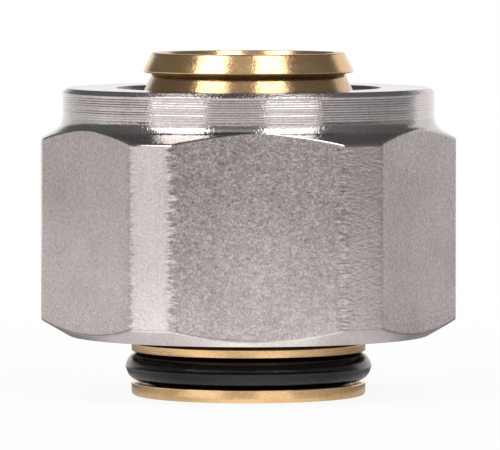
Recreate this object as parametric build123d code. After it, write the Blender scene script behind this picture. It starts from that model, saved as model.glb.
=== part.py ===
from build123d import *
from math import cos, pi, radians, tan
import os

# Manifold adapter: a barbed brass insert that takes a heating pipe, with a loose plated
# union nut and a split clamp ring over it. Millimetres, +Z up the pipe's axis, and the
# origin at the centre of the spigot's end face.

# Pipe that the adapter takes
pipe_diameter = 20.0
pipe_wall = 2.0

# Tail that goes into the pipe
tail_wall = 1.8
tail_fit = 0.1
barb_bite = 0.3
barb_depth = 0.68
barb_ramp = 1.43
barb_tip = 0.1
barb_undercut = 0.12
barb_count = 4
tail_base_length = 2.2
tail_rib_length = 1.2
tail_land_length = 2.63
mouth_flare = 0.83
mouth_flare_angle = 30.0
mouth_rim_round = 0.15
bore_edge = 0.4

# Two seals in the tail
tail_seal_section = 1.5
tail_seal_squeeze = 0.15
tail_groove_play = 0.25

# Spigot that goes into the manifold, with its seal
spigot_wall = 3.15
spigot_nose_length = 1.05
spigot_nose_round = 0.28
spigot_rib_length = 0.72
spigot_edge = 0.1
neck_depth = 1.65
neck_length = 1.08
seal_section = 2.4
seal_proud = 0.5
groove_gap = 0.03

# Cone that meets the manifold, and the flange above it
cone_half_angle = 12.5
cone_length = 3.9
flange_thickness = 1.7
flange_pass = 0.46
flange_edge = 0.15

# Insulating washer on the flange
washer_thickness = 1.2
washer_play = 0.1

# Split clamp ring
ring_fit = 0.1
ring_wall = 1.7
ring_length = 10.77
ring_lip = 0.35
ring_slit = 3.0
ring_edge = 0.25
grip_groove_depth = 0.25
grip_groove_width = 0.7
grip_groove_pitch = 1.6
grip_groove_count = 4
grip_groove_start = 2.6

# Union nut, hexagon outside and pipe thread inside
clamp_cone_angle = 30.0
clamp_cone_gap = 0.08
chamber_gap = 0.2
chamber_length = 4.15
thread_pass = 0.06
thread_height = 1.16
thread_mouth = 0.4
nut_wall = 1.78
pipe_hole_fit = 0.2
pipe_hole_length = 2.0
pipe_hole_edge = 0.25
hex_sides = 6
corner_cut = 0.92
hex_length = 14.3
hex_chamfer_angle = 30.0
rim_step = 0.75
collar_step = 0.3
collar_height = 2.98
collar_cove = 1.15
collar_edge = 0.35

# Radii that follow, from the waterway out to the nut's corners
pipe_radius = pipe_diameter / 2
pipe_bore_radius = pipe_radius - pipe_wall
tail_radius = pipe_bore_radius - tail_fit
waterway_radius = tail_radius - tail_wall
barb_tip_radius = pipe_bore_radius + barb_bite
barb_root_radius = barb_tip_radius - barb_depth
tail_seal_radius = pipe_bore_radius + tail_seal_squeeze - tail_seal_section / 2
tail_groove_radius = tail_seal_radius - tail_seal_section / 2 - groove_gap
spigot_radius = waterway_radius + spigot_wall
neck_radius = spigot_radius - neck_depth
seal_radius = spigot_radius + seal_proud - seal_section / 2
seal_groove_radius = seal_radius - seal_section / 2 - groove_gap
cone_large_radius = spigot_radius + cone_length * tan(radians(cone_half_angle))
ring_inner_radius = pipe_radius + ring_fit
ring_outer_radius = ring_inner_radius + ring_wall
ring_lip_radius = ring_inner_radius + ring_lip
washer_inner_radius = tail_radius + washer_play
washer_outer_radius = ring_inner_radius - washer_play
pipe_hole_radius = pipe_radius + pipe_hole_fit
chamber_radius = ring_outer_radius + chamber_gap
thread_crest_radius = chamber_radius + thread_pass
thread_root_radius = thread_crest_radius + thread_height
flange_radius = thread_crest_radius - flange_pass
flat_radius = thread_root_radius + nut_wall
corner_radius = flat_radius / cos(pi / hex_sides) - corner_cut
rim_radius = flat_radius - rim_step
collar_radius = flat_radius - collar_step

# Heights that follow, from the spigot's end face up
seal_groove_width = seal_section + 2 * groove_gap
groove_bottom = spigot_nose_length
groove_top = groove_bottom + seal_groove_width
neck_bottom = groove_top + spigot_rib_length
cone_bottom = neck_bottom + neck_length
flange_bottom = cone_bottom + cone_length
flange_top = flange_bottom + flange_thickness
tail_groove_width = tail_seal_section + tail_groove_play
lower_tail_groove = flange_top + tail_base_length
upper_tail_groove = lower_tail_groove + tail_groove_width + tail_rib_length
barb_bottom = upper_tail_groove + tail_groove_width + tail_land_length
barb_pitch = barb_ramp + barb_tip + barb_undercut
tail_top = barb_bottom + barb_count * barb_pitch
mouth_bottom = tail_top - mouth_flare / tan(radians(mouth_flare_angle))
ring_top = flange_top + ring_length
clamp_slope = tan(radians(clamp_cone_angle))
clamp_step = clamp_cone_gap / cos(radians(clamp_cone_angle))
clamp_cone_top = ring_top + (ring_lip_radius + clamp_step - pipe_hole_radius) / clamp_slope
clamp_cone_bottom = clamp_cone_top - (chamber_radius - pipe_hole_radius) / clamp_slope
ring_shoulder = ring_top - (ring_wall - ring_lip) / clamp_slope
hex_slope = tan(radians(hex_chamfer_angle))
rim_chamfer = (corner_radius - rim_radius) * hex_slope
shoulder_rise = (corner_radius - collar_radius) * hex_slope
nut_top = clamp_cone_top + pipe_hole_length
nut_bottom = nut_top - collar_height - shoulder_rise - hex_length - rim_chamfer
hex_bottom = nut_bottom + rim_chamfer
hex_top = hex_bottom + hex_length
collar_bottom = hex_top + shoulder_rise
chamber_bottom = clamp_cone_bottom - chamber_length
thread_top = chamber_bottom - (thread_root_radius - chamber_radius)


def turned(outline, rounds=()):
    # A piece from the lathe: a closed outline of (radius, height) points, some corners rounded
    profile = make_face(Polyline(*outline, close=True))
    for corner, radius in rounds:
        nearest = profile.vertices().sort_by_distance((corner[0], corner[1], 0))[0]
        profile = fillet(nearest, radius)
    return revolve(Plane.XZ * profile, Axis.Z)


def barbs():
    # Teeth from the lowest up: flat undersides, so the pipe slides on and can't slide off
    outline = []
    for index in range(barb_count):
        base = barb_bottom + index * barb_pitch
        outline.append((barb_root_radius, base))
        outline.append((barb_tip_radius, base + barb_undercut))
        outline.append((barb_tip_radius, base + barb_undercut + barb_tip))
    outline.append((barb_root_radius, tail_top))
    return outline


def tail_groove(bottom):
    # A square seal groove in the tail
    top = bottom + tail_groove_width
    return [
        (tail_radius, bottom),
        (tail_groove_radius, bottom),
        (tail_groove_radius, top),
        (tail_radius, top),
    ]


def pipe_insert():
    # The brass body from its spigot's end face up the outside, and back down the waterway
    nose_corner = (spigot_radius, 0)
    rim_corner = (barb_root_radius, tail_top)
    spigot = [
        (waterway_radius + bore_edge, 0),
        nose_corner,
        (spigot_radius, groove_bottom - spigot_edge),
        (spigot_radius - spigot_edge, groove_bottom),
        (seal_groove_radius, groove_bottom),
        (seal_groove_radius, groove_top),
        (spigot_radius - spigot_edge, groove_top),
        (spigot_radius, groove_top + spigot_edge),
        (spigot_radius, neck_bottom - spigot_edge),
        (spigot_radius - spigot_edge, neck_bottom),
        (neck_radius, neck_bottom),
        (neck_radius, cone_bottom),
    ]
    flange = [
        (spigot_radius, cone_bottom),
        (cone_large_radius, flange_bottom),
        (flange_radius - flange_edge, flange_bottom),
        (flange_radius, flange_bottom + flange_edge),
        (flange_radius, flange_top - flange_edge),
        (flange_radius - flange_edge, flange_top),
        (tail_radius, flange_top),
    ]
    grooves = tail_groove(lower_tail_groove) + tail_groove(upper_tail_groove)
    land = [(tail_radius, barb_bottom)]
    waterway = [
        (waterway_radius + mouth_flare, tail_top),
        (waterway_radius, mouth_bottom),
        (waterway_radius, bore_edge),
    ]
    outline = spigot + flange + grooves + land + barbs() + waterway
    rounds = [(nose_corner, spigot_nose_round), (rim_corner, mouth_rim_round)]
    return turned(outline, rounds)


def seal(radius, section, height):
    # A rubber ring of round section
    return Pos(0, 0, height) * Torus(radius, section / 2)


def insulating_washer():
    top = flange_top + washer_thickness
    return turned([
        (washer_inner_radius, flange_top),
        (washer_outer_radius, flange_top),
        (washer_outer_radius, top),
        (washer_inner_radius, top),
    ])


def grip_grooves():
    # Grooves inside the ring that bite the pipe, listed from the top down
    outline = []
    for index in reversed(range(grip_groove_count)):
        middle = flange_top + grip_groove_start + index * grip_groove_pitch
        outline.append((ring_inner_radius, middle + grip_groove_width / 2))
        outline.append((ring_inner_radius + grip_groove_depth, middle))
        outline.append((ring_inner_radius, middle - grip_groove_width / 2))
    return outline


def clamp_ring():
    # Stands on the flange; its top cone is squeezed inwards by the nut, and a slit lets it close
    outside = [
        (ring_inner_radius + ring_edge, flange_top),
        (ring_outer_radius - ring_edge, flange_top),
        (ring_outer_radius, flange_top + ring_edge),
        (ring_outer_radius, ring_shoulder),
        (ring_lip_radius, ring_top),
        (ring_inner_radius, ring_top),
    ]
    foot = [(ring_inner_radius, flange_top + ring_edge)]
    ring = turned(outside + grip_grooves() + foot)
    slit = Box(ring_slit, 2 * ring_outer_radius, 2 * ring_length)
    return ring - Pos(0, ring_outer_radius, flange_top + ring_length / 2) * slit


def union_nut():
    # A turned blank with all the round forms, cut by the hexagon: the cones leave arcs on the flats
    cove_corner = (collar_radius, collar_bottom)
    outside = [
        (thread_root_radius + thread_mouth, nut_bottom),
        (rim_radius, nut_bottom),
        (corner_radius, hex_bottom),
        (corner_radius, hex_top),
        cove_corner,
        (collar_radius, nut_top - collar_edge),
        (collar_radius - collar_edge, nut_top),
    ]
    inside = [
        (pipe_hole_radius + pipe_hole_edge, nut_top),
        (pipe_hole_radius, nut_top - pipe_hole_edge),
        (pipe_hole_radius, clamp_cone_top),
        (chamber_radius, clamp_cone_bottom),
        (chamber_radius, chamber_bottom),
        (thread_root_radius, thread_top),
        (thread_root_radius, nut_bottom + thread_mouth),
    ]
    blank = turned(outside + inside, [(cove_corner, collar_cove)])
    hexagon = RegularPolygon(flat_radius, hex_sides, major_radius=False)
    bar = extrude(Pos(0, 0, nut_bottom) * hexagon, nut_top - nut_bottom)
    return blank & bar


pieces = {
    "pipe_insert": pipe_insert(),
    "cone_seal": seal(seal_radius, seal_section, (groove_bottom + groove_top) / 2),
    "tail_seal_lower": seal(
        tail_seal_radius, tail_seal_section, lower_tail_groove + tail_groove_width / 2
    ),
    "tail_seal_upper": seal(
        tail_seal_radius, tail_seal_section, upper_tail_groove + tail_groove_width / 2
    ),
    "insulating_washer": insulating_washer(),
    "clamp_ring": clamp_ring(),
    "union_nut": union_nut(),
}

os.makedirs("parts", exist_ok=True)
for name, piece in pieces.items():
    export_step(piece, f"parts/{name}.step")
    print(name, f"{piece.volume:.1f} mm3")
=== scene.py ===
import math
import random
import bpy
from mathutils import Matrix, Vector


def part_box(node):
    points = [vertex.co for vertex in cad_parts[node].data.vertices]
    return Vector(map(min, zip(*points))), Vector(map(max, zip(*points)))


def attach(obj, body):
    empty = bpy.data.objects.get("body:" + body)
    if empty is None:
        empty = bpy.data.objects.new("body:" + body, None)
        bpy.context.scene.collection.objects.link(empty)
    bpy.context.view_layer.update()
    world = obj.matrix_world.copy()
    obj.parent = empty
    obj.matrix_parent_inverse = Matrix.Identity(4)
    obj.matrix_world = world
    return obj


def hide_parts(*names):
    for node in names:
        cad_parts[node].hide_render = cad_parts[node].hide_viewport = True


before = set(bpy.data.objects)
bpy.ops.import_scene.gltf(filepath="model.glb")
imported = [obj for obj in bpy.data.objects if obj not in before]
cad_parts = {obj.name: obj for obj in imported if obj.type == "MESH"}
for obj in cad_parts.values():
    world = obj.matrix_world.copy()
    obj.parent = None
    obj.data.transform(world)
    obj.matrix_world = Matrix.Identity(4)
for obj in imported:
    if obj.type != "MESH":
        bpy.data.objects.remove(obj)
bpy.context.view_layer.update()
mm = 0.001
print("frame loaded:", ", ".join(sorted(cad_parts)))


# outline and mesh helpers, all in millimetres until the mesh is made

meshing = {
    "turnedSteps": 256,
    "arcSteps": 5,
    "arcLimit": 0.45,  # the most of a side that the rounding at its end takes up
    "support": 0.06,
    "longSide": 4,  # a side longer than this many supports gets the two close rows
    "sharpAngle": 38.0,
}


def cornerArc(before, corner, after, size, steps):
    # the points of a rounded corner, with a smaller rounding where a side is short
    toBefore = (before - corner).normalized()
    toAfter = (after - corner).normalized()
    half = toBefore.angle(toAfter) / 2
    shortSide = min((before - corner).length, (after - corner).length)
    reach = min(size / math.tan(half), shortSide * meshing["arcLimit"])
    size = reach * math.tan(half)
    centre = corner + (toBefore + toAfter).normalized() * (size / math.sin(half))
    start = corner + toBefore * reach - centre
    end = corner + toAfter * reach - centre
    sweep = start.angle_signed(end)
    points = []
    for step in range(steps + 1):
        turn = -sweep * step / steps
        points.append(centre + Vector((
            start.x * math.cos(turn) - start.y * math.sin(turn),
            start.x * math.sin(turn) + start.y * math.cos(turn),
        )))
    return points


def softOutline(corners, steps=meshing["arcSteps"], support=meshing["support"]):
    # corners are (radius, height, rounding, zone); a zone names the stretch after its corner
    spots = [Vector(corner[:2]) for corner in corners]
    arcs = []
    for index, corner in enumerate(corners):
        before, after = spots[index - 1], spots[(index + 1) % len(spots)]
        if corner[2]:
            arcs.append(cornerArc(before, spots[index], after, corner[2], steps))
        else:
            arcs.append([spots[index]])
    outline = []
    for index, arc in enumerate(arcs):
        zone = corners[index][3]
        outline += [(*point, zone) for point in arc]
        nextArc = arcs[(index + 1) % len(arcs)]
        run = nextArc[0] - arc[-1]
        if run.length > meshing["longSide"] * support:  # two close rows keep the side's shading flat
            for share in (support / run.length, 1 - support / run.length):
                outline.append((*(arc[-1] + run * share), zone))
    return outline


def aboutAxis(profile, angle):
    # a profile's radii and heights as points at one angle round the axis
    return [(spot[0] * math.cos(angle), spot[0] * math.sin(angle), spot[1]) for spot in profile]


def gridMesh(name, columns, rowFinishes, closed=True):
    # columns are equal lists of points round the axis; each row of faces has the index of its finish
    rows = len(rowFinishes)
    points = [Vector(point) * mm for column in columns for point in column]
    faces = []
    faceFinishes = []
    for column in range(len(columns) if closed else len(columns) - 1):
        left = column * rows
        right = (column + 1) % len(columns) * rows
        for row in range(rows):
            above = (row + 1) % rows
            faces.append((left + row, right + row, right + above, left + above))
        faceFinishes += rowFinishes
    if not closed:  # flat ends of a split ring or a thread
        faces.append(tuple(reversed(range(rows))))
        faces.append(tuple(range((len(columns) - 1) * rows, len(columns) * rows)))
        faceFinishes += [rowFinishes[0]] * 2
    mesh = bpy.data.meshes.new(name)
    mesh.from_pydata(points, [], faces)
    mesh.polygons.foreach_set("material_index", faceFinishes)
    mesh.polygons.foreach_set("use_smooth", [True] * len(faces))
    mesh.set_sharp_from_angle(angle=math.radians(meshing["sharpAngle"]))
    mesh.update()
    piece = bpy.data.objects.new(name, mesh)
    bpy.context.scene.collection.objects.link(piece)
    return piece


def turnedPiece(name, outline, zones, steps=meshing["turnedSteps"], start=0.0, end=360.0):
    closed = end - start >= 360
    count = steps if closed else steps + 1
    angles = [math.radians(start + (end - start) * step / steps) for step in range(count)]
    columns = [aboutAxis(outline, angle) for angle in angles]
    rowFinishes = [zones.index(zone) for radius, height, zone in outline]
    return gridMesh(name, columns, rowFinishes, closed)


def dress(piece, finishNames, body, node):
    for name in finishNames:
        piece.data.materials.append(finishes[name])
    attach(piece, body)
    if node:
        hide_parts(node)
    print("made", piece.name, "with", len(piece.data.polygons), "faces")


# material helpers

noiseOffset = (3.37, 8.61, 1.23)  # keeps the object's axis off the noise's own grid
noiseRange = (0.3, 0.7)  # where nearly all of the noise lies
noiseMiddle = 0.5
white = (1, 1, 1, 1)
finishes = {}


def startFinish(name, sockets):
    # sockets are the shader's values that are the same all over the surface
    finish = bpy.data.materials.new(name)
    finish.use_nodes = True
    finishes[name] = finish
    tree = finish.node_tree
    shader = tree.nodes["Principled BSDF"]
    for key, value in sockets.items():
        shader.inputs[key].default_value = value
    return tree, shader


def addNode(tree, kind, inputs, **settings):
    node = tree.nodes.new(kind)
    for key, value in settings.items():
        setattr(node, key, value)
    for key, value in inputs.items():
        if isinstance(value, bpy.types.NodeSocket):
            tree.links.new(value, node.inputs[key])
        else:
            node.inputs[key].default_value = value
    return node


def mathNode(tree, operation, first, second=0.0):
    return addNode(tree, "ShaderNodeMath", {0: first, 1: second}, operation=operation).outputs[0]


def times(tree, first, second):
    return mathNode(tree, "MULTIPLY", first, second)


def plus(tree, first, second):
    return mathNode(tree, "ADD", first, second)


def minus(tree, first, second):
    return mathNode(tree, "SUBTRACT", first, second)


def mapRange(tree, value, low, high, toLow=0.0, toHigh=1.0, **settings):
    inputs = {"Value": value, "From Min": low, "From Max": high, "To Min": toLow, "To Max": toHigh}
    return addNode(tree, "ShaderNodeMapRange", inputs, **settings).outputs["Result"]


def noiseField(tree, perMillimetre, detail, roughness, twist=0.0):
    # noise whose grain is set by how many features fit in a millimetre along x, y and z
    place = addNode(tree, "ShaderNodeTexCoord", {}).outputs["Object"]
    scale = [count / mm for count in perMillimetre]
    mapping = {"Vector": place, "Location": noiseOffset, "Scale": scale}
    place = addNode(tree, "ShaderNodeMapping", mapping).outputs["Vector"]
    inputs = {"Vector": place, "Scale": 1.0, "Detail": detail, "Roughness": roughness, "Distortion": twist}
    return addNode(tree, "ShaderNodeTexNoise", inputs).outputs["Fac"]


def noiseSum(tree, fields):
    # each field is a noise and its weight
    total = None
    for *noise, weight in fields:
        part = times(tree, noiseField(tree, *noise), weight)
        total = plus(tree, total, part) if total else part
    return total


def spread(tree, noise, low, high):
    # a noise stretched between two values
    return mapRange(tree, noiseField(tree, *noise), *noiseRange, low, high)


def ramp(tree, factor, stops):
    node = addNode(tree, "ShaderNodeValToRGB", {"Fac": factor})
    bands = node.color_ramp.elements
    while len(bands) < len(stops):
        bands.new(0.5)  # goes to its own place below
    for band, (place, colour) in zip(bands, stops):
        band.position = place
        band.color = (*colour, 1)
    return node.outputs["Color"]


def blendTones(tree, share, first, second, **settings):
    inputs = {"Fac": share, "Color1": first, "Color2": second}
    return addNode(tree, "ShaderNodeMixRGB", inputs, **settings).outputs[0]


def tinted(tree, colour, share):
    return blendTones(tree, 1.0, colour, share, blend_type="MULTIPLY")


def byHeight(tree, low, high, toneLow, toneHigh):
    # a value that goes from one tone to another between two heights in millimetres
    place = addNode(tree, "ShaderNodeTexCoord", {}).outputs["Object"]
    height = addNode(tree, "ShaderNodeSeparateXYZ", {"Vector": place}).outputs["Z"]
    return mapRange(tree, height, low * mm, high * mm, toneLow, toneHigh)


def meshValue(tree, name, output="Fac"):
    # a value that the piece's mesh holds at its points
    return addNode(tree, "ShaderNodeAttribute", {}, attribute_name=name).outputs[output]


def bumpChain(tree, layers, normal=None):
    # each layer is a height field and its depth in millimetres
    for height, depth in layers:
        inputs = {"Height": height, "Strength": 1.0, "Distance": depth * mm}
        if normal:
            inputs["Normal"] = normal
        normal = addNode(tree, "ShaderNodeBump", inputs).outputs["Normal"]
    return normal


def surfaceFinish(name, sockets, fields, tones, gloss, glossNoise, relief, shade=None):
    # relief is a list of noises, each with its depth; shade is two heights and the tones there
    tree, shader = startFinish(name, sockets)
    tone = ramp(tree, noiseSum(tree, fields), tones)
    if shade:
        tone = tinted(tree, tone, byHeight(tree, *shade))
    layers = [(noiseField(tree, *noise), depth) for *noise, depth in relief]
    tree.links.new(tone, shader.inputs["Base Color"])
    tree.links.new(spread(tree, glossNoise, *gloss), shader.inputs["Roughness"])
    tree.links.new(bumpChain(tree, layers), shader.inputs["Normal"])


# finishes: a noise is its features per millimetre along x, y and z, its detail and its roughness, and may
# have a twist, a weight or a depth in millimetres after them

metal = {"Metallic": 1.0}
filmedMetal = {**metal, "Coat Weight": 0.10, "Coat IOR": 1.7, "Coat Roughness": 0.12}  # a film of grease

# the hexagon's wall: sawn flats, turned corners, and a ragged edge between them

wallTones = [(0.36, (0.435, 0.379, 0.365)), (0.50, (0.525, 0.464, 0.449)), (0.64, (0.610, 0.551, 0.546))]
wall = {
    "tones": wallTones,
    "fields": [((0.16, 0.16, 0.12), 3.0, 0.55, 0.46), ((5.6, 5.6, 5.6), 2.0, 0.5, 0.42),
               ((7.0, 7.0, 0.4), 2.0, 0.5, 0.12)],
    "gloss": (0.12, 0.18),
    "glossNoise": ((1.2, 1.2, 0.8), 3.0, 0.6),
    # sawn grain and specks on the flats
    "sawn": ((3.4, 3.4, 4.2), 2.0, 0.6, 1.2),
    "sawnDepth": 0.013,
    "strokes": ((6.0, 6.0, 0.5), 1.0, 0.5),
    "strokeDepth": 0.0015,
    "specks": ((4.4, 4.4, 5.0), 2.0, 0.6, 1.2),
    "speckTone": (0.60, 1.40),
    "speckShare": (0.72, 1.12),
    # chatter on the turned corners
    "ticks": ((1.9, 1.9, 4.4), 2.0, 0.55),
    "tickDepth": 0.09,
    "cornerTicks": 0.55,
    "cornerGloss": 0.08,
    "cornerTone": (1.29, 1.315, 1.32),
    # ragged edge between a flat and a turned corner; its marks paint glints and darker specks into the tone
    # near it
    "edgeTicks": 0.28,
    "edgeReach": 0.80,
    "marks": ((1.2, 1.2, 6.5), 1.0, 0.5),
    "glintAndSpeckTone": (-0.42, 0.26),
    "teeth": ((0.4, 0.4, 4.2), 2.0, 0.6),
    "wander": 2.6,
    "toothSoft": (-0.10, 0.10),
    "stripSoft": (-0.03, 0.03),
    # painted light: the wall's tone is paler towards the bottom, as if lit by the bright floor, and darker
    # towards the top, between a lower and an upper height; the same heights set how coarse the grain is
    "lightAndGrainHeights": (5.0, 16.0),
    "paintedLightTone": (1.26, 0.94),
}


def raggedEdge(tree):
    # how near the worn edge is, how far a point belongs to the turned corner, and the way it faces
    gap = meshValue(tree, "edgeGap")
    wear = meshValue(tree, "edgeWear")
    away = mathNode(tree, "ABSOLUTE", gap)
    near = mapRange(tree, away, 0.0, wall["edgeReach"], 1.0, 0.0, interpolation_type="SMOOTHSTEP")
    near = times(tree, near, wear)
    wander = minus(tree, noiseField(tree, *wall["teeth"]), noiseMiddle)
    wander = times(tree, times(tree, wander, wall["wander"]), wear)
    strip = mapRange(tree, gap, *wall["stripSoft"])
    corner = mapRange(tree, plus(tree, gap, wander), *wall["toothSoft"])
    # within a tooth the surface faces as it does across the edge
    tooth = mathNode(tree, "ABSOLUTE", minus(tree, corner, strip))
    across = addNode(
        tree, "ShaderNodeVectorTransform", {"Vector": meshValue(tree, "acrossEdge", "Vector")},
        vector_type="NORMAL", convert_from="OBJECT", convert_to="WORLD",
    ).outputs["Vector"]
    facing = addNode(tree, "ShaderNodeNewGeometry", {}).outputs["Normal"]
    facing = blendTones(tree, tooth, facing, across)
    facing = addNode(tree, "ShaderNodeVectorMath", {0: facing}, operation="NORMALIZE").outputs["Vector"]
    return near, corner, facing


def wallTone(tree, near, corner):
    # painted glints and darker specks near the ragged edge
    marks = spread(tree, wall["marks"], *wall["glintAndSpeckTone"])
    marks = plus(tree, times(tree, marks, near), 1.0)
    # painted light by height, paler at the bottom and darker at the top, times the edge's painted glints and
    # darker specks
    paintedLightAndSpecks = times(tree, byHeight(tree, *wall["lightAndGrainHeights"], *wall["paintedLightTone"]), marks)
    coarse = byHeight(tree, *wall["lightAndGrainHeights"], *wall["speckShare"])
    coarse = times(tree, meshValue(tree, "faceGrain"), coarse)
    flat = times(tree, minus(tree, 1.0, corner), coarse)
    specks = minus(tree, spread(tree, wall["specks"], *wall["speckTone"]), 1.0)
    specks = plus(tree, times(tree, specks, flat), 1.0)
    tone = ramp(tree, noiseSum(tree, wall["fields"]), wall["tones"])
    tone = tinted(tree, tone, times(tree, paintedLightAndSpecks, specks))
    return tinted(tree, tone, blendTones(tree, corner, white, (*wall["cornerTone"], 1)))


def wallFinish(name):
    tree, shader = startFinish(name, metal)
    near, corner, facing = raggedEdge(tree)
    gloss = spread(tree, wall["glossNoise"], *wall["gloss"])
    gloss = plus(tree, gloss, times(tree, corner, wall["cornerGloss"]))
    ticks = minus(tree, noiseField(tree, *wall["ticks"]), noiseMiddle)
    cornerShare = times(tree, corner, wall["cornerTicks"])
    edgeShare = times(tree, near, wall["edgeTicks"])
    layers = [
        (noiseField(tree, *wall["sawn"]), wall["sawnDepth"]),
        (noiseField(tree, *wall["strokes"]), wall["strokeDepth"]),
        (times(tree, ticks, mathNode(tree, "MAXIMUM", cornerShare, edgeShare)), wall["tickDepth"]),
    ]
    tree.links.new(wallTone(tree, near, corner), shader.inputs["Base Color"])
    tree.links.new(gloss, shader.inputs["Roughness"])
    tree.links.new(bumpChain(tree, layers, facing), shader.inputs["Normal"])


wallFinish("nickelWall")


# turned nickel, brass, rubber and plastic

nickelFields = [((0.16, 0.16, 0.12), 3.0, 0.55, 0.60), ((3.5, 3.5, 6.0), 1.0, 0.5, 0.40)]
turnedGloss = ((1.5, 1.5, 4.0), 3.0, 0.6)
# painted light: the collar and its chamfer get a paler copy of the wall's nickel
litCollarTones = [(0.36, (0.52, 0.461, 0.451)), (0.50, (0.605, 0.545, 0.534)), (0.64, (0.685, 0.630, 0.624))]
nickel = {
    "nickelCollar": {
        "tones": litCollarTones,
        "gloss": (0.05, 0.09),
        "glossNoise": turnedGloss,
        "relief": [((1.0, 1.0, 9.0), 2.0, 0.5, 0.003), ((4.0, 4.0, 5.0), 2.0, 0.6, 0.010)],
    },
    "nickelChamfer": {
        "tones": litCollarTones,
        "gloss": (0.12, 0.20),
        "glossNoise": turnedGloss,
        "relief": [((1.0, 1.0, 9.0), 2.0, 0.5, 0.010), ((5.0, 5.0, 6.0), 2.0, 0.6, 0.026)],
    },
    "nickelCove": {
        "tones": [(0.36, (0.42, 0.385, 0.375)), (0.50, (0.50, 0.465, 0.455)), (0.64, (0.58, 0.545, 0.540))],
        "gloss": (0.07, 0.12),
        "glossNoise": turnedGloss,
        "relief": [((0.3, 0.3, 5.0), 2.0, 0.5, 0.010), ((3.6, 3.6, 4.5), 2.0, 0.6, 0.018)],
    },
    # painted shade: darker nickel on the rounded edge between the bottom chamfer and the wall draws a thin
    # dark line there
    "shadedNickelEdge": {
        "tones": [(0.38, (0.30, 0.26, 0.25)), (0.50, (0.46, 0.405, 0.39)), (0.60, (0.64, 0.58, 0.57))],
        "gloss": (0.12, 0.20),
        "glossNoise": turnedGloss,
        "relief": [((4.5, 4.5, 4.5), 2.0, 0.6, 0.030)],
    },
    # painted light: the nut's bottom face and bottom chamfer, which face down, get a much paler copy of the
    # nickel in place of light from the floor below
    "litNickelRim": {
        "tones": [(0.36, (0.72, 0.634, 0.612)), (0.50, (0.85, 0.754, 0.732)), (0.64, (0.97, 0.880, 0.868))],
        "gloss": (0.12, 0.20),
        "glossNoise": turnedGloss,
        "relief": [((1.0, 1.0, 7.0), 2.0, 0.5, 0.012), ((5.0, 5.0, 6.0), 2.0, 0.5, 0.015)],
    },
    "nickelFace": {
        "tones": wallTones,
        "gloss": (0.08, 0.14),
        "glossNoise": ((1.5, 1.5, 1.5), 3.0, 0.6),
        "relief": [((5.0, 5.0, 5.0), 2.0, 0.5, 0.002)],
    },
    # painted shade: darker nickel inside the nut's hole, chamber and thread
    "shadedNickelInside": {
        "tones": [(0.40, (0.26, 0.225, 0.21)), (0.50, (0.32, 0.28, 0.26)), (0.60, (0.36, 0.32, 0.30))],
        "gloss": (0.25, 0.38),
        "glossNoise": ((1.0, 1.0, 2.0), 3.0, 0.6),
        "relief": [((0.4, 0.4, 9.0), 2.0, 0.5, 0.006)],
    },
}
for name, values in nickel.items():
    surfaceFinish(name, metal, nickelFields, **values)

brassFields = [((0.30, 0.30, 0.50), 3.0, 0.55, 0.50), ((4.5, 4.5, 6.5), 2.0, 0.6, 0.50)]
# painted shade: nearly black brass in the seal's groove, and dark brass under the nut's rim and under each
# barb
recess = {
    "sockets": metal,
    "gloss": (0.35, 0.50),
    "glossNoise": ((0.9, 0.9, 2.0), 3.0, 0.6),
    "relief": [((4.0, 4.0, 5.0), 2.0, 0.5, 0.010)],
}
brass = {
    "tailBrass": {
        "sockets": filmedMetal,
        "tones": [(0.38, (0.70, 0.435, 0.205)), (0.50, (0.78, 0.505, 0.252)), (0.62, (0.84, 0.575, 0.310))],
        "gloss": (0.14, 0.22),
        "glossNoise": ((0.8, 0.8, 3.0), 3.0, 0.6),
        "relief": [((0.5, 0.5, 7.0), 2.0, 0.5, 0.003), ((4.0, 4.0, 5.0), 2.0, 0.6, 0.010)],
        # darker towards the bottom of the tail: the tone is 0.72 below 25 mm and full from 25.7 mm up
        "shade": (25.0, 25.7, 0.72, 1.0),
    },
    # painted light: the spigot gets a paler copy of the tail's brass, so that its reflections come out
    # brighter
    "litSpigotBrass": {
        "sockets": filmedMetal,
        "tones": [(0.38, (0.80, 0.50, 0.235)), (0.50, (0.89, 0.575, 0.285)), (0.62, (0.96, 0.65, 0.345))],
        "gloss": (0.07, 0.13),
        "glossNoise": ((0.9, 0.9, 2.0), 3.0, 0.6),
        "relief": [((0.6, 0.6, 7.0), 2.0, 0.5, 0.003), ((2.4, 2.4, 4.0), 2.0, 0.5, 0.004)],
    },
    "shadedGrooveBrass": {**recess, "tones": [(0.38, (0.045, 0.028, 0.015)), (0.62, (0.080, 0.050, 0.028))]},
    "shadedRecessBrass": {**recess, "tones": [(0.38, (0.19, 0.115, 0.057)), (0.62, (0.33, 0.21, 0.11))]},
}
for name, values in brass.items():
    surfaceFinish(name, fields=brassFields, **values)

blackRubber = {
    "sockets": {"Metallic": 0.0, "Specular IOR Level": 0.47},
    "fields": [((1.1, 1.1, 1.6), 3.0, 0.6, 1.0)],
    "tones": [(0.35, (0.004, 0.004, 0.0045)), (0.70, (0.010, 0.0095, 0.010))],
    "gloss": (0.11, 0.22),
    "glossNoise": ((2.0, 2.0, 3.0), 3.0, 0.6),
    "relief": [((1.3, 1.3, 4.6), 2.0, 0.6, 0.016), ((4.0, 4.0, 5.0), 2.0, 0.6, 0.006)],
}
surfaceFinish("blackRubber", **blackRubber)

whitePlastic = {
    "sockets": {"Metallic": 0.0},
    "fields": [((0.6, 0.6, 1.0), 3.0, 0.5, 1.0)],
    "tones": [(0.35, (0.80, 0.79, 0.76)), (0.70, (0.88, 0.88, 0.86))],
    "gloss": (0.42, 0.55),
    "glossNoise": ((1.5, 1.5, 2.0), 2.0, 0.5),
    "relief": [((0.6, 0.6, 8.0), 2.0, 0.5, 0.006)],
}
surfaceFinish("whitePlastic", **whitePlastic)
print("finishes ready:", len(finishes))


# union nut: turned blank cut by a hexagon, so each column of the mesh has its own reach

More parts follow.
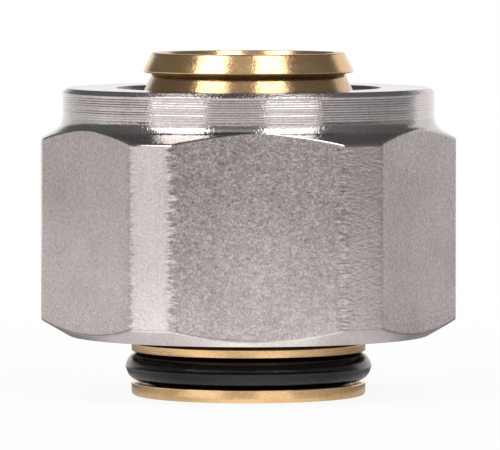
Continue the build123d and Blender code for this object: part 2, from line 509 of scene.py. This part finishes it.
nutLow, nutHigh = (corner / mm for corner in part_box("union_nut"))
nut = {
    "flatRadius": nutHigh.y,
    "cornerRadius": nutHigh.x,
    "bottom": nutLow.z,
    "top": nutHigh.z,
    "rimStep": 0.75,
    "collarStep": 0.30,
    "collarHeight": 2.98,
    "collarEdge": 0.35,
    "coveRadius": 1.15,
    "chamferAngle": 30.0,
    "holeRadius": 10.2,
    "holeEdge": 0.25,
    "holeLength": 2.0,
    "clampAngle": 30.0,
    "chamberRadius": 12.0,
    "chamberLength": 4.15,
    "threadRadius": 13.22,
    "threadMouth": 0.4,
    # roundings
    "rimRound": 0.16,
    "lowRound": 0.24,
    "shoulderRound": 0.26,
    "collarRound": 0.09,
    "insideRound": 0.05,
    "edgeSoft": 0.05,
    # the lathe tool's feed marks on the collar, with the spread of their widths and depths
    "groovePitch": 0.186,
    "grooveDepth": 0.021,
    "grooveGap": 0.08,
    "grooveWidths": (0.94, 1.06),
    "grooveDepths": (0.8, 1.2),
    "grooveSeed": 7,
    # how ragged a face's left and right edges are, by the way the face looks in degrees
    "edgeWear": {270: (1.0, 1.0), 210: (0.2, 0.5), 330: (0.45, 0.2)},
    "otherWear": (0.5, 0.5),
    # how coarse each face's grain is, by the same angles
    "faceGrain": {270: 1.0, 210: 0.50, 330: 0.50},
    "otherGrain": 0.7,
}
nutGrid = {
    "faces": 6,
    "firstFace": -90,
    "flatColumns": 22,
    "stripColumns": 5,
    "edgeTurns": (0.12, 0.28, 0.55, 1.0, 1.7),  # degrees either side of a flat's edge
    "arcSteps": 4,
    "grooveSteps": 6,
    "rimShares": (0.12, 0.88),  # rows as shares of the way up, as for the wall
    "lowZones": ("rim", "rim", "rim", "rim", "edge", "wall", "wall"),
    "wallTop": 0.16,  # kept free for the upper rounding
    "wallShares": (0.005, 0.2, 0.4, 0.6, 0.8, 0.995),
    "shoulderSteps": 16,
    "roundAim": 3,  # the shoulder's step that the upper rounding turns towards
    "roundEnd": 2,  # the step that comes after that rounding
}
nutZones = {
    "wall": "nickelWall",
    "shoulder": "nickelCove",
    "collar": "nickelCollar",
    "top": "nickelFace",
    "chamfer": "nickelChamfer",
    "rim": "litNickelRim",
    "edge": "shadedNickelEdge",
    "inside": "shadedNickelInside",
}
rimRadius = nut["flatRadius"] - nut["rimStep"]
collarRadius = nut["flatRadius"] - nut["collarStep"]
mouthRadius = nut["threadRadius"] + nut["threadMouth"]
chamferTilt = math.radians(nut["chamferAngle"])
chamferSlope = math.tan(chamferTilt)
collarBottom = nut["top"] - nut["collarHeight"]
hexTop = collarBottom - (nut["cornerRadius"] - collarRadius) * chamferSlope
edgeAngle = math.degrees(math.acos(nut["flatRadius"] / nut["cornerRadius"]))
faceTurn = 360 / nutGrid["faces"]
grooveDraws = random.Random(nut["grooveSeed"])


def shoulderPath(reach):
    # the turned shoulder from a column's reach in to the collar: a cone, then the cove
    size = nut["coveRadius"]
    centreRadius = collarRadius + size
    rise = (nut["cornerRadius"] - centreRadius) * chamferSlope
    centreHeight = hexTop + rise + size / math.cos(chamferTilt)
    meetRadius = centreRadius - size * math.sin(chamferTilt)
    coneLength = max(0.0, (reach - meetRadius) / math.cos(chamferTilt))
    firstTurn = chamferTilt if reach >= meetRadius else math.asin((centreRadius - reach) / size)
    arcLength = size * (math.pi / 2 - firstTurn)
    path = []
    for step in range(nutGrid["shoulderSteps"] + 1):
        along = (coneLength + arcLength) * step / nutGrid["shoulderSteps"]
        if along < coneLength:
            radius = reach - along * math.cos(chamferTilt)
            path.append((radius, hexTop + (nut["cornerRadius"] - radius) * chamferSlope))
        else:
            turn = firstTurn + (along - coneLength) / size
            path.append((centreRadius - size * math.sin(turn), centreHeight - size * math.cos(turn)))
    return path


def collarGrooves(bottom, top):
    # shallow hollows with a crest between each two
    count = round((top - bottom) / nut["groovePitch"])
    widths = [grooveDraws.uniform(*nut["grooveWidths"]) for groove in range(count)]
    stretch = (top - bottom) / sum(widths)
    marks = []
    foot = bottom
    for width in widths:
        depth = nut["grooveDepth"] * grooveDraws.uniform(*nut["grooveDepths"])
        pitch = width * stretch
        for step in range(nutGrid["grooveSteps"]):
            share = step / nutGrid["grooveSteps"]
            hollow = 1 - (2 * share - 1) ** 2
            marks.append((collarRadius - depth * hollow, foot + pitch * share))
        foot += pitch
    return marks


def nutInsideOutline():
    # from the collar's upper edge over the top, down the inside to the thread's mouth
    top, edge, softness = nut["top"], nut["collarEdge"], nut["insideRound"]
    coneTop = top - nut["holeLength"]
    clampSlope = math.tan(math.radians(nut["clampAngle"]))
    coneBottom = coneTop - (nut["chamberRadius"] - nut["holeRadius"]) / clampSlope
    chamberBottom = coneBottom - nut["chamberLength"]
    threadTop = chamberBottom - (nut["threadRadius"] - nut["chamberRadius"])
    mouth = (mouthRadius, nut["bottom"])
    corners = [
        (collarRadius, top - edge, nut["collarRound"], "chamfer"),
        (collarRadius - edge, top, nut["collarRound"], "top"),
        (nut["holeRadius"] + nut["holeEdge"], top, softness, "inside"),
        (nut["holeRadius"], top - nut["holeEdge"], softness, "inside"),
        (nut["holeRadius"], coneTop, softness, "inside"),
        (nut["chamberRadius"], coneBottom, softness, "inside"),
        (nut["chamberRadius"], chamberBottom, softness, "inside"),
        (nut["threadRadius"], threadTop, softness, "inside"),
        (nut["threadRadius"], nut["bottom"] + nut["threadMouth"], softness, "inside"),
        # these close the outline and are cut off again, as the columns bring their own outside
        (*mouth, 0, "rim"),
        (collarRadius, nut["bottom"], 0, "rim"),
        (collarRadius, top - 2 * edge, 0, "collar"),
    ]
    outline = softOutline(corners, nutGrid["arcSteps"])
    last = next(index for index, spot in enumerate(outline) if spot[:2] == Vector(mouth)[:])
    return outline[:last], threadTop


nutInside, nutThreadTop = nutInsideOutline()


def nutColumn(reach, grooves):
    # one column of the nut: its outside at this reach from the mouth up, then the inside
    mouth = Vector((mouthRadius, nut["bottom"]))
    rim = Vector((rimRadius, nut["bottom"]))
    lowCorner = Vector((reach, nut["bottom"] + (reach - rimRadius) * chamferSlope))
    shoulder = shoulderPath(reach)
    highCorner = Vector(shoulder[0])
    roundAim = Vector(shoulder[nutGrid["roundAim"]])
    steps, lowZones = nutGrid["arcSteps"], nutGrid["lowZones"]
    rimArc = cornerArc(mouth, rim, lowCorner, nut["rimRound"], steps)
    lowArc = cornerArc(rim, lowCorner, highCorner, nut["lowRound"], len(lowZones) - 1)
    highArc = cornerArc(lowCorner, highCorner, roundAim, nut["shoulderRound"], steps)
    wallFoot = lowArc[-1].y
    wallLength = highCorner.y - wallFoot - nutGrid["wallTop"]
    column = [(*mouth, "rim")]
    column += [(*point, "rim") for point in rimArc]
    column += [(*rim.lerp(lowCorner, share), "rim") for share in nutGrid["rimShares"]]
    column += [(*point, zone) for point, zone in zip(lowArc, lowZones)]
    column += [(reach, wallFoot + wallLength * share, "wall") for share in nutGrid["wallShares"]]
    column += [(*point, "shoulder") for point in highArc]
    column += [(*spot, "shoulder") for spot in shoulder[nutGrid["roundEnd"]:-1]]
    column += [(*spot, "collar") for spot in grooves]
    return column + nutInside


def offFace(angle):
    # degrees from the middle of the nearest face
    return (angle - nutGrid["firstFace"] + faceTurn / 2) % faceTurn - faceTurn / 2


def nutReach(angle):
    # distance from the axis to the outside, with the edge between flat and turned corner rubbed soft
    flat = nut["flatRadius"] / math.cos(math.radians(offFace(angle)))
    corner, soft = nut["cornerRadius"], nut["edgeSoft"]
    share = min(1.0, max(0.0, 0.5 + 0.5 * (corner - flat) / soft))
    return corner + (flat - corner) * share - soft * share * (1 - share)


def nutAngles():
    # columns bunch at the edges between flats and turned corners
    turns, flatColumns, stripColumns = nutGrid["edgeTurns"], nutGrid["flatColumns"], nutGrid["stripColumns"]
    near = [edgeAngle - turn for turn in reversed(turns)]
    near += [edgeAngle] + [edgeAngle + turn for turn in turns]
    span = 2 * near[0]
    across = [-near[0] + span * step / flatColumns for step in range(1, flatColumns)]
    strip = faceTurn / 2 - near[-1]
    beyond = [near[-1] + strip * step / stripColumns for step in range(1, stripColumns)]
    half = near + beyond
    offsets = [-faceTurn / 2] + [-offset for offset in reversed(half)] + across + half
    middles = [face * faceTurn + nutGrid["firstFace"] for face in range(nutGrid["faces"])]
    return [middle + offset for middle in middles for offset in offsets]


def addWear(piece, angles, rows):
    # the wall's finish reads these values at each point
    gaps, wears, grains, looks = [], [], [], []
    for angle in angles:
        off = offFace(angle)
        gap = math.radians(abs(off) - edgeAngle) * nut["cornerRadius"]  # below zero on the flat
        face = round(angle - off) % 360
        wear = nut["edgeWear"].get(face, nut["otherWear"])
        across = 0 if gap > 0 else math.copysign(edgeAngle, off)
        turn = math.radians(angle - off + across)
        gaps += [gap] * rows
        wears += [wear[0 if off < 0 else 1]] * rows
        grains += [nut["faceGrain"].get(face, nut["otherGrain"])] * rows
        looks += [math.cos(turn), math.sin(turn), 0.0] * rows
    attributes = piece.data.attributes
    for name, values in (("edgeGap", gaps), ("edgeWear", wears), ("faceGrain", grains)):
        attributes.new(name, "FLOAT", "POINT").data.foreach_set("value", values)
    attributes.new("acrossEdge", "FLOAT_VECTOR", "POINT").data.foreach_set("vector", looks)


def buildNut():
    coveTop = shoulderPath(nut["cornerRadius"])[-1][1]
    grooves = collarGrooves(coveTop, nut["top"] - nut["collarEdge"] - nut["grooveGap"])
    angles = nutAngles()
    profiles = [nutColumn(nutReach(angle), grooves) for angle in angles]
    columns = [aboutAxis(profile, math.radians(angle)) for profile, angle in zip(profiles, angles)]
    zones = list(nutZones)
    rowFinishes = [zones.index(zone) for radius, height, zone in profiles[0]]
    piece = gridMesh("unionNut", columns, rowFinishes)
    addWear(piece, angles, len(rowFinishes))
    return piece


dress(buildNut(), nutZones.values(), "nut", "union_nut")


# pipe thread inside the nut

thread = {
    "pitch": 1.814,
    "crestRadius": 12.06,
    "baseHalf": 0.755,
    "crestHalf": 0.16,
    "crestRound": 0.05,
    "flankRound": 0.03,
    "sink": 0.03,
    "startShare": 0.6,  # of the half base, from the mouth up to the first turn's middle
    "endShare": 0.4,  # of the half base, from the last turn's middle up to the chamber
    "stepsPerTurn": 96,
    "fadeTurns": 0.22,
    "leastHeight": 0.02,
}


def buildThread():
    base = nut["threadRadius"] + thread["sink"]
    first = nut["bottom"] + nut["threadMouth"] + thread["baseHalf"] * thread["startShare"]
    last = nutThreadTop - thread["baseHalf"] * thread["endShare"]
    turns = (last - first) / thread["pitch"]
    count = int(turns * thread["stepsPerTurn"])
    baseHalf, crestHalf = thread["baseHalf"], thread["crestHalf"]
    crestRound, flankRound = thread["crestRound"], thread["flankRound"]
    columns = []
    for step in range(count + 1):
        turn = turns * step / count
        height = min(1.0, turn / thread["fadeTurns"], (turns - turn) / thread["fadeTurns"])
        crest = base - (base - thread["crestRadius"]) * max(thread["leastHeight"], height)
        middle = first + thread["pitch"] * turn
        section = [
            (base, middle - baseHalf),
            (base, middle + baseHalf),
            (crest + crestRound, middle + crestHalf + flankRound),
            (crest, middle + crestHalf - crestRound),
            (crest, middle - crestHalf + crestRound),
            (crest + crestRound, middle - crestHalf - flankRound),
        ]
        columns.append(aboutAxis(section, 2 * math.pi * turn))
    return gridMesh("unionThread", columns, [0] * len(section), False)


# the thread takes the darker inside nickel, painted shade
dress(buildThread(), ["shadedNickelInside"], "nut", None)


# pipe insert: barbed tail, flange, cone and spigot

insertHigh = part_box("pipe_insert")[1]
insert = {
    "top": insertHigh.z / mm,
    "flangeRadius": insertHigh.x / mm,
    "waterway": 6.1,
    "boreEdge": 0.4,
    "tailRadius": 7.9,
    "barbTipRadius": 8.3,
    "barbDepth": 0.68,
    "barbRamp": 1.43,
    "barbTip": 0.10,
    "barbUndercut": 0.12,
    "barbCount": 4,
    "mouthFlare": 0.83,
    "flareAngle": 30.0,
    "tailBase": 2.2,
    "tailRib": 1.2,
    "tailGrooveWidth": 1.75,
    "tailGrooveRadius": 6.62,
    "spigotRadius": 9.25,
    "noseLength": 1.05,
    "grooveWidth": 2.46,
    "grooveRadius": 7.32,
    "ribLength": 0.72,
    "neckRadius": 7.6,
    "neckLength": 1.08,
    "coneAngle": 12.5,
    "coneLength": 3.9,
    "flangeThickness": 1.7,
    "support": 0.05,
}
insertRounds = {
    "edge": 0.08,
    "nose": 0.28,
    "grooveEdge": 0.09,
    "floor": 0.10,
    "rib": 0.11,
    "flange": 0.15,
    "tailEdge": 0.06,
    "barbFoot": 0.04,
    "barb": 0.05,
    "tip": 0.16,
    "mouth": 0.07,
    "flare": 0.15,
}
insertZones = {
    "spigot": "litSpigotBrass",
    "tail": "tailBrass",
    "recess": "shadedRecessBrass",
    "groove": "shadedGrooveBrass",
}


def spigotCorners(flangeTop):
    # from the bore's lower edge out over the nose, groove, rib, neck, cone and flange to the tail
    spigot, neck, groove = insert["spigotRadius"], insert["neckRadius"], insert["grooveRadius"]
    flange, nose, rounds = insert["flangeRadius"], insert["noseLength"], insertRounds
    grooveTop = nose + insert["grooveWidth"]
    neckBottom = grooveTop + insert["ribLength"]
    coneBottom = neckBottom + insert["neckLength"]
    flangeBottom = coneBottom + insert["coneLength"]
    coneRadius = spigot + insert["coneLength"] * math.tan(math.radians(insert["coneAngle"]))
    return [
        (insert["waterway"] + insert["boreEdge"], 0, rounds["edge"], "spigot"),
        (spigot, 0, rounds["nose"], "spigot"),
        (spigot, nose, rounds["grooveEdge"], "spigot"),
        # painted shade: nearly black brass on the seal groove's floor and upper wall
        (groove, nose, rounds["floor"], "groove"),
        (groove, grooveTop, rounds["floor"], "groove"),
        (spigot, grooveTop, rounds["grooveEdge"], "spigot"),
        # painted shade: dark brass on the rib's top, the neck and the step out to the cone, under the nut's
        # rim
        (spigot, neckBottom, rounds["rib"], "recess"),
        (neck, neckBottom, rounds["floor"], "recess"),
        (neck, coneBottom, rounds["floor"], "recess"),
        (spigot, coneBottom, rounds["edge"], "spigot"),
        (coneRadius, flangeBottom, rounds["edge"], "spigot"),
        (flange, flangeBottom, rounds["flange"], "spigot"),
        (flange, flangeTop, rounds["flange"], "spigot"),
        (insert["tailRadius"], flangeTop, rounds["edge"], "tail"),
    ]


def tailCorners(flangeTop):
    # two seal grooves, the barbs, and the flared mouth down to the bore
    tail, groove, width = insert["tailRadius"], insert["tailGrooveRadius"], insert["tailGrooveWidth"]
    bore, top, rounds = insert["waterway"], insert["top"], insertRounds
    lowerGroove = flangeTop + insert["tailBase"]
    corners = []
    for bottom in (lowerGroove, lowerGroove + width + insert["tailRib"]):
        corners += [
            (tail, bottom, rounds["tailEdge"], "tail"),
            (groove, bottom, rounds["floor"], "tail"),
            (groove, bottom + width, rounds["floor"], "tail"),
            (tail, bottom + width, rounds["tailEdge"], "tail"),
        ]
    tip, root = insert["barbTipRadius"], insert["barbTipRadius"] - insert["barbDepth"]
    pitch = insert["barbRamp"] + insert["barbTip"] + insert["barbUndercut"]
    barbBottom = top - insert["barbCount"] * pitch
    corners.append((tail, barbBottom, rounds["barbFoot"], "tail"))
    for barb in range(insert["barbCount"]):
        foot = barbBottom + barb * pitch
        corners += [
            # painted shade: dark brass on each barb's root and undercut
            (root, foot, rounds["barb"], "recess"),
            (tip, foot + insert["barbUndercut"], rounds["barb"], "tail"),
            (tip, foot + insert["barbUndercut"] + insert["barbTip"], rounds["barb"], "tail"),
        ]
    flareLength = insert["mouthFlare"] / math.tan(math.radians(insert["flareAngle"]))
    return corners + [
        (root, top, rounds["tip"], "tail"),
        (bore + insert["mouthFlare"], top, rounds["mouth"], "tail"),
        (bore, top - flareLength, rounds["flare"], "tail"),
        (bore, insert["boreEdge"], rounds["edge"], "spigot"),
    ]


def buildInsert():
    lengths = ("noseLength", "grooveWidth", "ribLength", "neckLength", "coneLength", "flangeThickness")
    flangeTop = sum(insert[length] for length in lengths)
    corners = spigotCorners(flangeTop) + tailCorners(flangeTop)
    return turnedPiece("pipeInsert", softOutline(corners, support=insert["support"]), list(insertZones))


dress(buildInsert(), insertZones.values(), "insert", "pipe_insert")


# rubber seals, with the thin ridge that a mould's parting line leaves

seals = {
    "nodes": {
        "coneSeal": "cone_seal",
        "tailSealLower": "tail_seal_lower",
        "tailSealUpper": "tail_seal_upper",
    },
    "ridge": 0.07,
    "ridgeTurn": 5.0,
    "sectionSteps": 72,
    "steps": 192,
}


def sealOutline(node):
    low, high = (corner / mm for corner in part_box(node))
    size = (high.z - low.z) / 2
    ring = high.x - size
    middle = (high.z + low.z) / 2
    outline = []
    for step in range(seals["sectionSteps"]):
        turn = 360 * step / seals["sectionSteps"]
        fromEquator = min(abs(turn), abs(turn - 360), abs(turn - 180))
        proud = seals["ridge"] * math.exp(-(fromEquator / seals["ridgeTurn"]) ** 2) - seals["ridge"]
        reach = size + proud
        angle = math.radians(turn)
        outline.append((ring + reach * math.cos(angle), middle + reach * math.sin(angle), "rubber"))
    return outline


for name, node in seals["nodes"].items():
    seal = turnedPiece(name, sealOutline(node), ["rubber"], seals["steps"])
    dress(seal, ["blackRubber"], "insert", node)


# insulating washer

washer = {
    "innerRadius": 8.0,
    "round": 0.12,
    "steps": 192,
}


def buildWasher():
    low, high = (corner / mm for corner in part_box("insulating_washer"))
    inner, outer = washer["innerRadius"], high.x
    spots = ((inner, low.z), (outer, low.z), (outer, high.z), (inner, high.z))
    corners = [(*spot, washer["round"], "plastic") for spot in spots]
    return turnedPiece("insulatingWasher", softOutline(corners), ["plastic"], washer["steps"])


dress(buildWasher(), ["whitePlastic"], "insert", "insulating_washer")


# split clamp ring

clamp = {
    "innerRadius": 10.1,
    "wall": 1.7,
    "lip": 0.35,
    "edge": 0.25,
    "coneAngle": 30.0,
    "slit": 3.0,
    "slitAngle": 90.0,
    "grooveCount": 4,
    "grooveStart": 2.6,
    "groovePitch": 1.6,
    "grooveWidth": 0.7,
    "grooveDepth": 0.25,
    "edgeRound": 0.05,
    "coneRound": 0.08,
    "lipRound": 0.06,
    "grooveRound": 0.04,
    "arcSteps": 4,
    "steps": 224,
}


def clampCorners():
    low, high = (corner.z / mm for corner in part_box("clamp_ring"))
    inner, outer = clamp["innerRadius"], clamp["innerRadius"] + clamp["wall"]
    edge, lip = clamp["edge"], clamp["lip"]
    drop = (clamp["wall"] - lip) / math.tan(math.radians(clamp["coneAngle"]))
    corners = [
        (inner + edge, low, clamp["edgeRound"], "turned"),
        (outer - edge, low, clamp["edgeRound"], "turned"),
        (outer, low + edge, clamp["edgeRound"], "turned"),
        (outer, high - drop, clamp["coneRound"], "turned"),
        (inner + lip, high, clamp["lipRound"], "turned"),
        (inner, high, clamp["lipRound"], "turned"),
    ]
    for groove in reversed(range(clamp["grooveCount"])):
        middle = low + clamp["grooveStart"] + groove * clamp["groovePitch"]
        corners += [
            (inner, middle + clamp["grooveWidth"] / 2, clamp["grooveRound"], "turned"),
            (inner + clamp["grooveDepth"], middle, clamp["grooveRound"], "turned"),
            (inner, middle - clamp["grooveWidth"] / 2, clamp["grooveRound"], "turned"),
        ]
    corners.append((inner, low + edge, clamp["edgeRound"], "turned"))
    return corners


def buildClamp():
    slitHalf = math.degrees(math.asin(clamp["slit"] / 2 / (clamp["innerRadius"] + clamp["wall"] / 2)))
    start, end = clamp["slitAngle"] + slitHalf, clamp["slitAngle"] + 360 - slitHalf
    outline = softOutline(clampCorners(), clamp["arcSteps"])
    return turnedPiece("clampRing", outline, ["turned"], clamp["steps"], start, end)


# the clamp ring takes the spigot's paler brass, painted light
dress(buildClamp(), ["litSpigotBrass"], "clamp_ring", "clamp_ring")


# studio: pale floor, two tall softboxes and a room that is white behind the object

studio = {
    "floorSize": 4.0,
    "floorColour": (0.90, 0.90, 0.90),
    "floorRoughness": 0.9,
    # how much of the floor's white and of its painted reflection tone is kept, from the object's foot
    # outwards
    "shadowReach": 0.10,
    "shadowShare": [(0.0, 0.91), (0.25, 0.95), (1.0, 1.0)],
    "glossShare": [(0.0, 0.97), (0.25, 1.0), (1.0, 1.0)],
    # painted reflections and painted shade in the floor as metal sees it: tones by bearing in degrees, 0
    # towards the camera, in rings from the object's foot outwards, with the distances over which each gives
    # way to the next; the bright bands paint the softboxes' reflections, and the darker tones paint shade
    # and the dark studio
    "underTones": [(-180, 0.40), (-124, 0.40), (-92, 0.48), (-75, 0.62), (-48, 0.60), (-29, 0.74),
                   (-11, 1.0), (8, 1.0), (26, 0.86), (46, 0.55), (70, 0.50), (115, 0.50), (180, 0.55)],
    "footEdge": (0.0125, 0.0145),
    "footTones": [(-180, 0.22), (-118, 0.22), (-84, 0.42), (-60, 0.50), (-48, 1.0), (-26, 1.0), (-15, 0.62),
                  (0, 0.60), (7, 1.0), (24, 1.0), (32, 0.60), (52, 0.44), (86, 0.28), (110, 0.26),
                  (180, 0.22)],
    "nearEdge": (0.035, 0.055),
    "nearTones": [(-180, 0.36), (-150, 0.32), (-106, 0.52), (-80, 0.60), (-58, 1.0), (-42, 1.0), (-20, 0.68),
                  (-4, 0.68), (13, 1.0), (28, 1.0), (48, 0.70), (72, 0.45), (110, 0.26), (150, 0.36),
                  (180, 0.36)],
    "boardEdge": (0.070, 0.082),
    "boardTones": [(-180, 0.60), (-150, 0.50), (-110, 0.86), (-60, 1.0), (0, 1.0), (45, 0.76), (90, 0.52),
                   (119, 0.60), (126, 0.85), (180, 0.70)],
    "floorEdge": (0.125, 0.28),
    "floorTones": [(-180, 1.0), (-157, 1.0), (-140, 0.72), (-112, 0.74), (-102, 1.0), (-55, 1.0),
                   (-30, 0.42), (0, 0.34), (20, 0.36), (45, 0.36), (62, 0.31), (80, 0.36), (119, 0.46),
                   (126, 1.0), (180, 1.0)],
    # the room's tones by the same bearings, from the floor up, and the rises between which they change
    "roomTones": [
        [(-180, 1.0), (-157, 1.0), (-140, 0.69), (-112, 0.72), (-102, 1.0), (-55, 1.0), (-30, 0.85),
         (0, 0.80), (10, 0.76), (45, 0.42), (62, 0.34), (119, 0.40), (126, 1.0), (180, 1.0)],
        [(-180, 0.16), (-150, 0.16), (-75, 0.18), (-30, 0.46), (0, 0.44), (10, 0.36), (45, 0.22),
         (119, 0.18), (126, 1.0), (160, 1.0), (175, 0.16)],
        [(-180, 0.12), (-120, 0.16), (-75, 0.20), (-30, 0.26), (0, 0.26), (45, 0.22), (120, 0.16),
         (180, 0.12)],
        [(-180, 0.10), (-120, 0.16), (-75, 0.20), (-30, 0.50), (0, 0.48), (45, 0.24), (120, 0.16),
         (180, 0.10)],
        [(-180, 0.08), (180, 0.08)],
    ],
    "roomSteps": [(0.15, 0.24), (0.34, 0.44), (0.62, 0.70), (0.84, 0.94)],
    # softboxes: name, left and right bearing; each has panels of one lean, length and radiance
    "boxes": (("softboxLeft", -65.0, -28.2), ("softboxRight", 7.8, 41.0)),
    "boxDistance": 0.60,
    "boxFoot": 0.13,
    "boxPanels": ((13.5, 0.26, 1.0), (13.5, 0.36, 3.8), (49.0, 0.20, 3.4), (49.0, 0.30, 1.5)),
}


def greyRamp(tree, factor, stops):
    return ramp(tree, factor, [(place, (value,) * 3) for place, value in stops])


def bearingTone(tree, place, stops):
    # a grey that changes with the bearing round the object
    parts = addNode(tree, "ShaderNodeSeparateXYZ", {"Vector": place}).outputs
    bearing = mathNode(tree, "ARCTAN2", parts["X"], times(tree, parts["Y"], -1.0))
    turn = mapRange(tree, bearing, -math.pi, math.pi)
    return greyRamp(tree, turn, [(0.5 + degrees / 360, value) for degrees, value in stops])


def floorFinish():
    # white to the camera, a glow of painted reflections and painted shade in metal, and plain paper for the
    # light and the shadow
    sockets = {"Base Color": (*studio["floorColour"], 1), "Roughness": studio["floorRoughness"]}
    tree, paper = startFinish("floorPaper", sockets)
    place = addNode(tree, "ShaderNodeTexCoord", {}).outputs["Object"]
    distance = addNode(tree, "ShaderNodeVectorMath", {0: place}, operation="LENGTH").outputs["Value"]
    reach = mapRange(tree, distance, 0.0, studio["shadowReach"])
    paintedReflection = bearingTone(tree, place, studio["underTones"])
    for ring in ("foot", "near", "board", "floor"):
        tone = bearingTone(tree, place, studio[ring + "Tones"])
        paintedReflection = blendTones(tree, mapRange(tree, distance, *studio[ring + "Edge"]), paintedReflection, tone)
    path = addNode(tree, "ShaderNodeLightPath", {}).outputs
    seen = path["Is Camera Ray"]
    shown = times(tree, seen, greyRamp(tree, reach, studio["shadowShare"]))
    reflected = plus(tree, path["Is Glossy Ray"], path["Is Transmission Ray"])
    reflected = times(tree, reflected, greyRamp(tree, reach, studio["glossShare"]))
    # the glow is white to the camera and shows the painted reflections and shade to metal
    glow = addNode(tree, "ShaderNodeEmission", {"Color": blendTones(tree, seen, paintedReflection, white)})
    mixed = addNode(tree, "ShaderNodeMixShader", {"Fac": plus(tree, reflected, shown)})
    tree.links.new(paper.outputs[0], mixed.inputs[1])
    tree.links.new(glow.outputs[0], mixed.inputs[2])
    tree.links.new(mixed.outputs[0], tree.nodes["Material Output"].inputs["Surface"])


def buildFloor():
    half = studio["floorSize"] / 2
    mesh = bpy.data.meshes.new("floor")
    corners = [(-half, -half, 0), (half, -half, 0), (half, half, 0), (-half, half, 0)]
    mesh.from_pydata(corners, [], [(0, 1, 2, 3)])
    floorFinish()
    mesh.materials.append(finishes["floorPaper"])
    floor = bpy.data.objects.new("floor", mesh)
    bpy.context.scene.collection.objects.link(floor)


def buildRoom():
    world = bpy.data.worlds.new("studioRoom")
    bpy.context.scene.world = world
    world.use_nodes = True
    tree = world.node_tree
    direction = addNode(tree, "ShaderNodeTexCoord", {}).outputs["Generated"]
    rise = addNode(tree, "ShaderNodeSeparateXYZ", {"Vector": direction}).outputs["Z"]
    tones = [bearingTone(tree, direction, stops) for stops in studio["roomTones"]]
    room = tones[0]
    for tone, step in zip(tones[1:], studio["roomSteps"]):
        room = blendTones(tree, mapRange(tree, rise, *step), room, tone)
    path = addNode(tree, "ShaderNodeLightPath", {}).outputs
    shown = blendTones(tree, path["Is Camera Ray"], room, white)
    tree.links.new(shown, tree.nodes["Background"].inputs["Color"])


def buildSoftbox(name, leftBearing, rightBearing):
    # panels between two bearings, one above the other, each leaning over the object
    bearings = [math.radians(bearing) for bearing in (leftBearing, rightBearing)]
    left, right = (Vector((math.sin(b), -math.cos(b), 0)) * studio["boxDistance"] for b in bearings)
    foot = (left + right) / 2 + Vector((0, 0, studio["boxFoot"]))
    for index, (degrees, length, radiance) in enumerate(studio["boxPanels"]):
        lean = math.radians(degrees)
        upward = Vector((0, math.sin(lean), math.cos(lean)))
        across = right - left
        across -= upward * across.dot(upward)
        light = bpy.data.lights.new(name, "AREA")
        light.shape = "RECTANGLE"
        light.size = across.length
        light.size_y = length
        light.energy = radiance * math.pi * light.size * light.size_y
        across.normalize()
        turned = Matrix((across, upward, across.cross(upward))).transposed()
        box = bpy.data.objects.new(f"{name}{index + 1}", light)
        box.location = foot + upward * (length / 2)
        box.rotation_mode = "QUATERNION"
        box.rotation_quaternion = turned.to_quaternion()
        box.visible_camera = False
        bpy.context.scene.collection.objects.link(box)
        foot += upward * length


buildFloor()
buildRoom()
for box in studio["boxes"]:
    buildSoftbox(*box)
print("studio ready")


# camera at the photograph's viewing angle

view = {
    "azimuth": -2.7,
    "elevation": 3.1,
    "distance": 0.480,
    "aim": (0.00012, 0.0, 0.013407),
    "imageWidth": 500,
    "pixelsPerMillimetre": 12.65,
    "sensorWidth": 36.0,
    "clip": (0.01, 10.0),
}


def buildCamera():
    lens = bpy.data.cameras.new("camera")
    lens.sensor_width = view["sensorWidth"]
    fieldWidth = view["imageWidth"] / view["pixelsPerMillimetre"]
    lens.lens = lens.sensor_width * view["distance"] / mm / fieldWidth
    lens.clip_start, lens.clip_end = view["clip"]
    side, lift = math.radians(view["azimuth"]), math.radians(view["elevation"])
    back = Vector((math.sin(side) * math.cos(lift), -math.cos(side) * math.cos(lift), math.sin(lift)))
    camera = bpy.data.objects.new("camera", lens)
    camera.location = Vector(view["aim"]) + back * view["distance"]
    camera.rotation_mode = "QUATERNION"
    camera.rotation_quaternion = (-back).to_track_quat("-Z", "Y")
    bpy.context.scene.collection.objects.link(camera)
    bpy.context.scene.camera = camera


buildCamera()
bpy.context.scene.view_settings.view_transform = "Standard"
print("camera ready")
